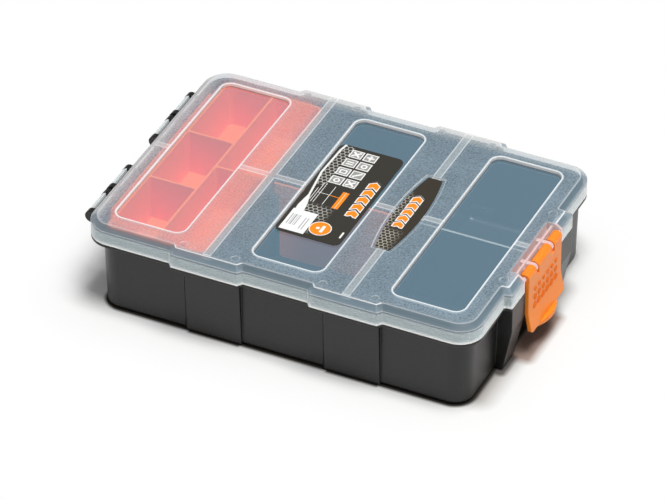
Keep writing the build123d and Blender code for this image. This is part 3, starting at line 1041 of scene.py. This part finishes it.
@dataclass(frozen=True)
class WindowCard(PrintedFilm):
    """The printed card: dark, with a honeycomb, small framed marks, chevrons, a bar and a dot."""

    name: str = "window_card"
    paper: Colour = (0.034, 0.031, 0.024)
    roughness: float = 0.5
    shine: float = 0.25
    grey: Colour = (0.30, 0.30, 0.29)
    frame_corner: Point = (-7.25, 33.7)
    frame_pitch: Point = (7.2, 7.4)
    frame_half: Point = (3.2, 3.0)
    frame_inset: float = 0.3
    frame_line: float = 0.28
    rows: tuple[tuple[Glyph, Glyph], ...] = (
        (Glyph.CROSS, Glyph.PLUS),
        (Glyph.BARS, Glyph.RING),
        (Glyph.SQUARE, Glyph.SLASH),
        (Glyph.RING, Glyph.CROSS),
    )
    ring_radius: float = 1.25
    ring_line: float = 0.4
    square_half: Point = (1.5, 1.2)
    square_line: float = 0.35
    slash_line: float = 0.5
    comb_width: float = 2.35
    comb_line: float = 0.34
    side_field: Box = ((-12.9, 21.8), (2.6, 16.6))
    side_soft: float = 0.6
    low_field: Box = ((-6.0, -15.5), (7.0, 5.2))
    low_soft: float = 3.0
    low_fade: float = 0.75
    low_fade_rate: float = 0.06
    foot_field: Disc = ((-3.5, -29.5), 2.6)
    foot_soft: float = 2.5
    foot_share: float = 0.5
    stripe: tuple[Point, ...] = (
        (-14.9, 38.6), (-15.7, 33.9), (-16.3, 14.4), (-14.9, 4.0), (-13.8, -4.5), (-13.0, -16.0),
    )
    stripe_line: float = 0.5
    flare_start: float = -4.0
    flare_run: float = 9.0
    flare: float = 1.6
    diagram: tuple[Run, ...] = (
        ((-11.2, 7.2), (-11.2, -8.6)),
        ((-9.9, 7.2), (-9.9, -8.6)),
        ((-5.2, 6.4), (-5.2, -8.6)),
        ((-11.2, -0.6), (-5.2, -0.6)),
        ((-12.4, 2.5), (-12.4, -7.0)),
    )
    diagram_line: float = 0.14
    bar: Box = ((1.3, -2.5), (1.6, 6.8))
    split_half: float = 0.14
    split_share: float = 0.7
    lead: Run = ((-5.0, -0.8), (0.0, -0.8))
    lead_line: float = 0.2
    wedges: Box = ((10.6, 3.2), (2.5, 14.9))
    dot: Disc = ((2.1, -26.0), 4.9)
    dot_outline: float = 0.45
    dot_marks: tuple[Box, ...] = (((0.9, -26.0), (0.8, 0.8)), ((3.2, -26.0), (0.75, 2.6)))
    foot_bar: Run = ((13.2, -24.6), (13.2, -28.6))
    foot_bar_line: float = 0.45

    def glyph(self, kind: Glyph, x: Value, y: Value) -> Value:
        """Return the signed distance to one mark round the origin.

        Args:
            kind: which mark it is.
            x: the point's place along the box, from the mark's middle.
            y: the point's place across the box, from the mark's middle.

        Returns:
            The distance, in millimetres.
        """
        if kind is Glyph.RING:
            return abs(length(x, y) - self.ring_radius) - self.ring_line
        if kind is Glyph.SQUARE:
            return abs(self.box(x, y, ORIGIN, self.square_half)) - self.square_line
        if kind in GLYPH_BOXES:
            return joined(self.box(x, y, *box) for box in GLYPH_BOXES[kind])
        return joined(self.stroke(x, y, run) for run in GLYPH_STROKES[kind]) - self.slash_line

    def frames(self, x: Value, y: Value) -> tuple[Value, Value]:
        """Draw the grid of framed marks.

        Args:
            x: the point's place along the box.
            y: the point's place across the box.

        Returns:
            The masks of the frames' fields and of their white ink.
        """
        fields = []
        inks = []
        for row, kinds in enumerate(self.rows):
            for column, kind in enumerate(kinds):
                over_x = x - (self.frame_corner[0] + column * self.frame_pitch[0])
                over_y = y - (self.frame_corner[1] - row * self.frame_pitch[1])
                frame = self.box(over_x, over_y, ORIGIN, self.frame_half)
                border = abs(frame + self.frame_inset) - self.frame_line
                fields.append(frame)
                inks.append(border.least(self.glyph(kind, over_x, over_y)))
        return joined(fields).inside(self.soft), joined(inks).inside(self.soft)

    def mesh_mask(self, x: Value, y: Value) -> Value:
        """Draw the honeycomb, in its three fading fields.

        Args:
            x: the point's place along the box.
            y: the point's place across the box.

        Returns:
            The mask, 1 on the lines.
        """
        comb = self.honeycomb(x, y, self.comb_width, self.comb_line)
        side = self.box(x, y, *self.side_field).inside(self.side_soft)
        low = self.box(x, y, *self.low_field).inside(self.low_soft)
        low = low * (self.low_fade - x * self.low_fade_rate).clamped()
        foot = self.disc(x, y, *self.foot_field).inside(self.foot_soft) * self.foot_share
        return comb * side.most(low).most(foot)

    def material(self) -> bpy.types.Material:
        """Build the material.

        Returns:
            The new material.
        """
        graph = Graph(bpy.data.materials.new(self.name))
        x, y, _ = graph.place()
        soft = self.soft
        flare = ((self.flare_start - y) / self.flare_run).clamped() * self.flare
        stripe = self.stroke(x, y, self.stripe) - self.stripe_line - flare
        diagram = joined(self.stroke(x, y, run) for run in self.diagram)
        fields, inks = self.frames(x, y)
        bar = self.box(x, y, *self.bar)
        split = abs(x - self.bar[0][0]) - self.split_half
        dot = self.disc(x, y, *self.dot)
        marks = joined(self.box(x, y, *mark) for mark in self.dot_marks)
        return self.printed(graph, graph.layered(self.paper, (
            (self.mesh_mask(x, y), self.mesh),
            (stripe.inside(BLURRED), self.white),
            (diagram.below(self.diagram_line, soft), self.white),
            (fields, self.grey),
            (inks, self.white),
            (bar.inside(soft), self.orange),
            (split.most(bar).inside(soft) * self.split_share, self.white),
            (self.stroke(x, y, self.lead).below(self.lead_line, soft), self.orange),
            *self.chevrons(x, y, self.wedges),
            (dot.below(self.dot_outline, soft), self.white),
            (dot.inside(soft), self.orange),
            (marks.inside(soft), self.white),
            (self.stroke(x, y, self.foot_bar).below(self.foot_bar_line, soft), self.white),
        )))


@dataclass(frozen=True)
class BadgeFilm(PrintedFilm):
    """The badge: dark film with a honeycomb on one side and a row of orange chevrons."""

    name: str = "badge_film"
    paper: Colour = (0.034, 0.027, 0.018)
    roughness: float = 0.42
    shine: float = 0.35
    mesh: Colour = (0.50, 0.48, 0.41)
    comb_width: float = 2.2
    comb_line: float = 0.32
    side_corner: Point = (31.6, 17.0)
    side_fade: Point = (0.5, 0.2)
    low_corner: Point = (39.5, -13.0)
    low_fade: Point = (0.2, 0.3)
    wedges: Box = ((34.1, 1.5), (2.3, 13.2))

    @staticmethod
    def fading(x: Value, y: Value, corner: Point, fade: Point) -> Value:
        """Return a mask that fades out towards the two sides at a corner."""
        return ((corner[0] - x) * fade[0]).clamped() * ((corner[1] - y) * fade[1]).clamped()

    def material(self) -> bpy.types.Material:
        """Build the material.

        Returns:
            The new material.
        """
        graph = Graph(bpy.data.materials.new(self.name))
        x, y, _ = graph.place()
        comb = self.honeycomb(x, y, self.comb_width, self.comb_line)
        side = self.fading(x, y, self.side_corner, self.side_fade)
        low = self.fading(x, y, self.low_corner, self.low_fade)
        return self.printed(graph, graph.layered(self.paper, (
            (comb * side.most(low), self.mesh),
            *self.chevrons(x, y, self.wedges),
        )))


@dataclass(frozen=True)
class TagPaper(PrintedFilm):
    """The small tag: white paper with a block of plain bars."""

    name: str = "tag_paper"
    paper: Colour = (0.84, 0.84, 0.84)
    roughness: float = 0.55
    shine: float = 0.4
    ink: Colour = (0.16, 0.16, 0.16)
    ink_share: float = 0.75
    corner: Point = (-15.65, -33.4)
    bars: tuple[Box, ...] = (
        ((1.7, 8.6), (0.25, 4.2)),
        ((2.7, 8.6), (0.15, 4.2)),
        ((3.6, 8.6), (0.35, 4.2)),
        ((4.7, 8.6), (0.15, 4.2)),
        ((5.6, 8.6), (0.25, 4.2)),
        ((8.6, 7.4), (0.25, 4.6)),
        ((10.0, 7.4), (0.25, 4.6)),
    )

    def material(self) -> bpy.types.Material:
        """Build the material.

        Returns:
            The new material.
        """
        graph = Graph(bpy.data.materials.new(self.name))
        x, y, _ = graph.place()
        moved = (x - self.corner[0], y - self.corner[1])
        ink = joined(self.box(*moved, *bar) for bar in self.bars).inside(SOFT)
        return self.printed(graph, graph.blend(ink * self.ink_share, self.paper, self.ink))


def dress(node: bpy.types.Object, material: bpy.types.Material) -> None:
    """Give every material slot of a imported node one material.

    Args:
        node: the node's object.
        material: its new material.
    """
    if not node.material_slots:
        node.data.materials.append(material)
    for slot in node.material_slots:
        slot.material = material


@dataclass
class Tub:
    """The black tub and its loose plates."""

    nodes: dict[str, bpy.types.Object]
    black: MouldedPlastic = MouldedPlastic(
        "tub_black", (0.009, 0.009, 0.008), (0.002, 0.002, 0.002), 0.34, 0.9, 0.09, 0.6
    )
    # The loose plate has a painted highlight along its upper edge
    plate: MouldedPlastic = EdgeHighlightPlastic(
        "plate_black", (0.010, 0.010, 0.009), (0.005, 0.005, 0.004), 0.36, 0.5, 0.02, 0.3
    )
    orange: MouldedPlastic = MouldedPlastic(
        "tray_orange", (0.92, 0.19, 0.03), (0.90, 0.17, 0.03), 0.38, 0.6, 0.01, 0.5, 0.15,
        glow=(0.05, 0.010, 0.0),
    )

    def build(self) -> None:
        """Dress the tub, the tray and the two dividers."""
        dress(self.nodes["tub"], self.black.material())
        dress(self.nodes["end_divider"], self.plate.material())
        orange = self.orange.material()
        dress(self.nodes["insert_tray"], orange)
        dress(self.nodes["middle_divider"], orange)
        LOG.info("tub, tray and dividers dressed")


@dataclass
class Lid:
    """The windowed lid and the stickers on it."""

    nodes: dict[str, bpy.types.Object]
    plastic: WindowedPlastic = WindowedPlastic()
    card: WindowCard = WindowCard()
    badge: BadgeFilm = BadgeFilm()
    tag: TagPaper = TagPaper()

    def build(self) -> None:
        """Dress the lid and its stickers."""
        dress(self.nodes["lid"], self.plastic.material())
        dress(self.nodes["window_label"], self.card.material())
        dress(self.nodes["badge_sticker"], self.badge.material())
        dress(self.nodes["price_tag"], self.tag.material())
        LOG.info("lid and stickers dressed")


@dataclass
class Latch:
    """The orange swing latch."""

    nodes: dict[str, bpy.types.Object]
    orange: MouldedPlastic = DottedPlastic(
        "latch_orange", (0.98, 0.26, 0.012), (0.94, 0.24, 0.012), 0.42, 0.6, 0.01, 0.5, 0.15
    )

    def build(self) -> None:
        """Dress the latch."""
        dress(self.nodes["latch"], self.orange.material())
        LOG.info("latch dressed")


@dataclass(frozen=True)
class ShadedFloor:
    """The white floor: darker where the box keeps light off it, and glowing away from the box."""

    name: str = "floor_white"
    colour: Colour = (0.81, 0.81, 0.80)
    latch_shade: Colour = (0.35, 0.26, 0.22)
    end_shade: Colour = (0.42, 0.39, 0.36)
    foot_shade: Colour = (0.05, 0.045, 0.04)
    latch_patch: Patch = Patch((101.0, -4.0), (6.5, 20.0), 3.0, 5.0)
    end_patch: Patch = Patch((95.0, -12.0), (6.0, 50.0), 5.0, 12.0)
    foot_patch: Patch = Patch((1.5, 0.0), (94.0, 68.5), 11.0, 1.8)
    tower_patch: Patch = Patch((93.5, -29.5), (6.6, 8.5), 2.5, 2.5)
    tower_share: float = 0.8
    pilaster_patch: Patch = Patch((35.0, 0.0), (13.6, 69.4), 1.5, 1.8)
    pilaster_middle: float = 2.9
    far_run: float = 30.0
    far_loss: float = 0.8
    box_patch: Patch = Patch((0.0, 0.0), (102.0, 72.0), 18.0, 1.0)
    glow_reach: float = 30.0
    least_glow: float = 0.04

    def material(self) -> bpy.types.Material:
        """Build the material.

        Returns:
            The new material.
        """
        graph = Graph(bpy.data.materials.new(self.name))
        x, y, _ = graph.place()
        latch = self.latch_patch.mask(x, y)
        end = self.end_patch.mask(x, y)
        foot = self.foot_patch.mask(x, y).most(self.tower_patch.mask(x, y) * self.tower_share)
        foot = foot.most(self.pilaster_patch.mask(abs(x - self.pilaster_middle), y))
        foot = foot * (1 - (y / self.far_run).clamped() * self.far_loss)
        colour = graph.layered(self.colour, (
            (end, self.end_shade),
            (latch, self.latch_shade),
            (foot, self.foot_shade),
        ))
        diffuse = graph.node("ShaderNodeBsdfDiffuse", {"Color": colour})
        glow = graph.node("ShaderNodeEmission", {"Color": WHITE, "Strength": 1.0})
        seen = graph.ray("Is Camera Ray").most(graph.ray("Is Transmission Ray"))
        away = (self.box_patch.distance(x, y) / self.glow_reach).clamped()
        share = away.between(self.least_glow, 1.0) * (1 - latch.most(foot).most(end))
        return graph.finish(graph.mixed(seen * share, diffuse.outputs[0], glow.outputs[0]))


@dataclass(frozen=True)
class Lamp:
    """A square area lamp that faces the origin. Its lengths are metres and its power watts."""

    name: str
    place: Place
    size: float
    power: float

    def add(self) -> None:
        """Add the lamp to the scene."""
        light = bpy.data.lights.new(self.name, "AREA")
        light.shape = "SQUARE"
        light.size = self.size
        light.energy = self.power
        lamp = bpy.data.objects.new(self.name, light)
        lamp.location = self.place
        lamp.rotation_euler = Vector(self.place).to_track_quat("Z", "Y").to_euler()
        bpy.context.scene.collection.objects.link(lamp)


@dataclass
class Studio:
    """The camera, floor and lamps, in metres and degrees, the lens and sensor in millimetres."""

    target: Place = (0.01543, -0.04056, 0.0470)
    azimuth: float = 25.2144
    elevation: float = 36.72
    distance: float = 2.41522
    lens: float = 286.66
    sensor_width: float = 36.0
    sight: float = 50.0
    floor_size: float = 12.0
    floor_depth: float = 0.00005
    floor: ShadedFloor = ShadedFloor()
    world_strength: float = 0.30
    lamps: tuple[Lamp, ...] = (Lamp("overhead_lamp", (0.30, -0.12, 1.45), 0.6, 22.0),)

    def direction(self) -> Vector:
        """Return the unit vector from the target to the camera."""
        azimuth = math.radians(self.azimuth)
        elevation = math.radians(self.elevation)
        return Vector((
            math.sin(azimuth) * math.cos(elevation),
            -math.cos(azimuth) * math.cos(elevation),
            math.sin(elevation),
        ))

    def build(self) -> None:
        """Add the camera, the floor, the world and the lamps."""
        self.add_camera()
        self.add_floor()
        self.add_world()
        for lamp in self.lamps:
            lamp.add()
        bpy.context.scene.view_settings.view_transform = "Standard"
        LOG.info("studio built with %d lamps", len(self.lamps))

    def add_camera(self) -> None:
        """Place the camera at the photograph's viewing angle."""
        camera = bpy.data.cameras.new("camera")
        camera.sensor_fit = "HORIZONTAL"
        camera.sensor_width = self.sensor_width
        camera.lens = self.lens
        camera.clip_end = self.sight
        holder = bpy.data.objects.new("camera", camera)
        holder.location = Vector(self.target) + self.direction() * self.distance
        holder.rotation_euler = self.direction().to_track_quat("Z", "Y").to_euler()
        bpy.context.scene.collection.objects.link(holder)
        bpy.context.scene.camera = holder

    def add_floor(self) -> None:
        """Add the pale floor."""
        bpy.ops.object.select_all(action="DESELECT")
        place = (0.0, 0.0, -self.floor_depth)
        bpy.ops.mesh.primitive_plane_add(size=self.floor_size, location=place)
        floor = bpy.context.active_object
        floor.name = "floor"
        dress(floor, self.floor.material())

    def add_world(self) -> None:
        """Light the scene all round, and show white behind it."""
        world = bpy.data.worlds.new("studio")
        bpy.context.scene.world = world
        graph = Graph(world)
        strength = self.world_strength
        lit = graph.node("ShaderNodeBackground", {"Color": WHITE, "Strength": strength})
        seen = graph.node("ShaderNodeBackground", {"Color": WHITE, "Strength": 1.0})
        mixed = graph.mixed(graph.ray("Is Camera Ray"), lit.outputs[0], seen.outputs[0])
        graph.node("ShaderNodeOutputWorld", {"Surface": mixed})


def main() -> None:
    """Load the frame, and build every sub-assembly and the studio."""
    logging.basicConfig(level=logging.INFO, format="%(name)s: %(message)s")
    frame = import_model()
    nodes = frame["nodes"]
    for part in (Tub(nodes), Lid(nodes), Latch(nodes), Studio()):
        part.build()


if __name__ == "__main__":
    main()
